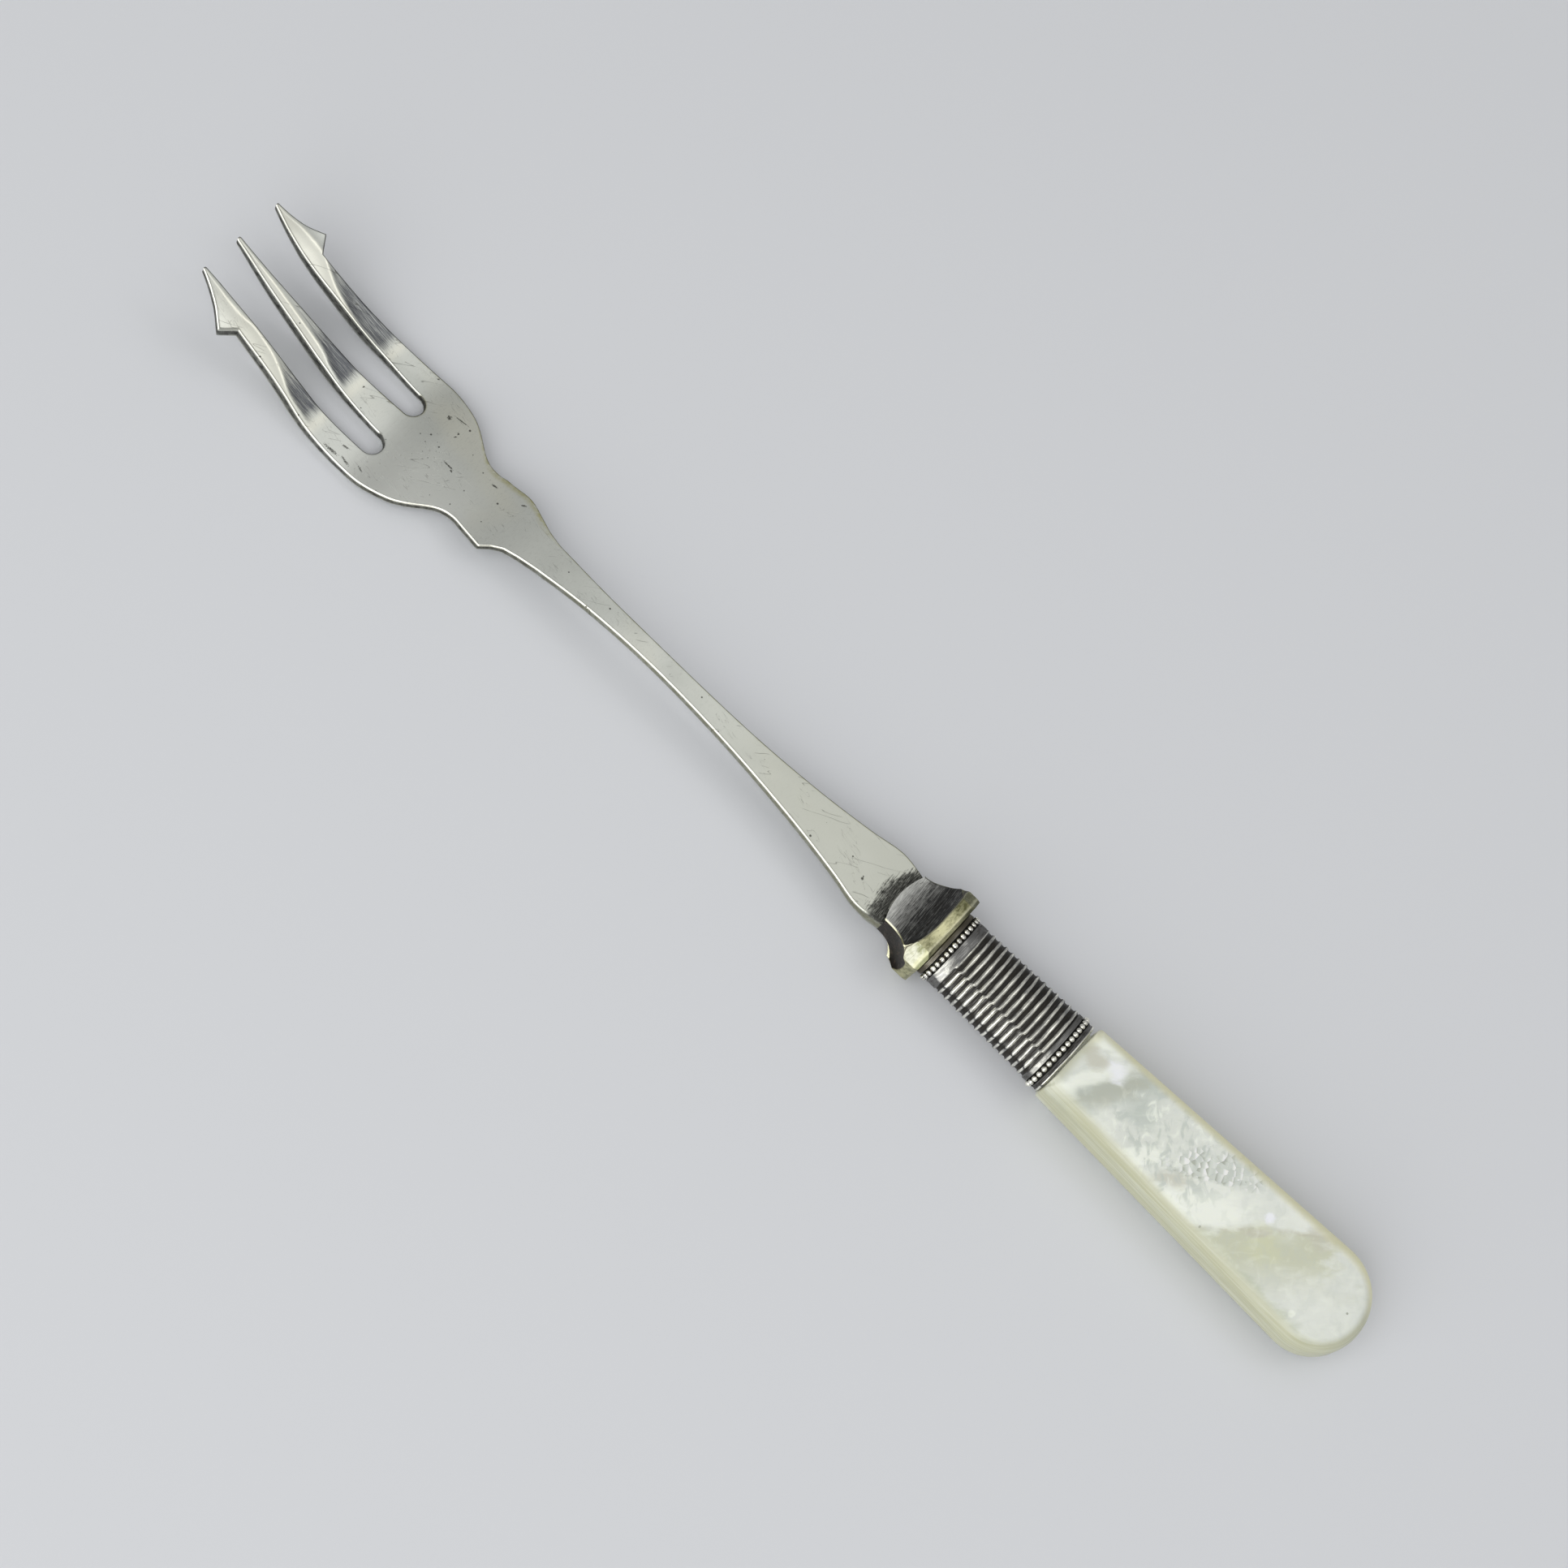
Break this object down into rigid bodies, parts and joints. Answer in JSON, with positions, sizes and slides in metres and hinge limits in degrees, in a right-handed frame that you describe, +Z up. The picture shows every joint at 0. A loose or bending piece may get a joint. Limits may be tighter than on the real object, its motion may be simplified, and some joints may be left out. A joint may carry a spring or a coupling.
{
  "type": "pickle fork",
  "caption": "Slim three-tined pickle fork with outward barbs, a flat waisted shank, an eight-sided bolster, a reeded ferrule and a tapered mother-of-pearl handle.",
  "frame": {"origin": "on the table surface, under the middle of the fork's length and width", "axes": "+Y along the fork from the round end of the handle to the tine tips, +X across it to the right as seen from the handle with the palm's hollow side up, +Z up out of the face of the palm"},
  "size_m": [0.0178, 0.1766, 0.0097],
  "materials": {
    "silver_plate": "satin silver plate over nickel silver, finely scratched and pitted, brassy on worn edges",
    "worn_bolster": "yellowish worn rim, hollow faces dark with tarnish and scratched crosswise",
    "oxidised_silver": "thin silver, bright on the ribs and beads, black in the grooves",
    "mother_of_pearl": "polished shell, cream to greenish white with cloudy silky bands",
    "cement": "dull brown resin cement",
    "pin_brass": "plain drawn wire"
  },
  "bodies": {
    "root": {"fork_blade": "silver_plate", "bolster": "worn_bolster", "ferrule": "oxidised_silver", "rear_bead_wire": "oxidised_silver", "front_bead_wire": "oxidised_silver", "pearl_handle": "mother_of_pearl", "tang_cement": "cement", "tang_pins": "pin_brass"}
  },
  "joints": []
}
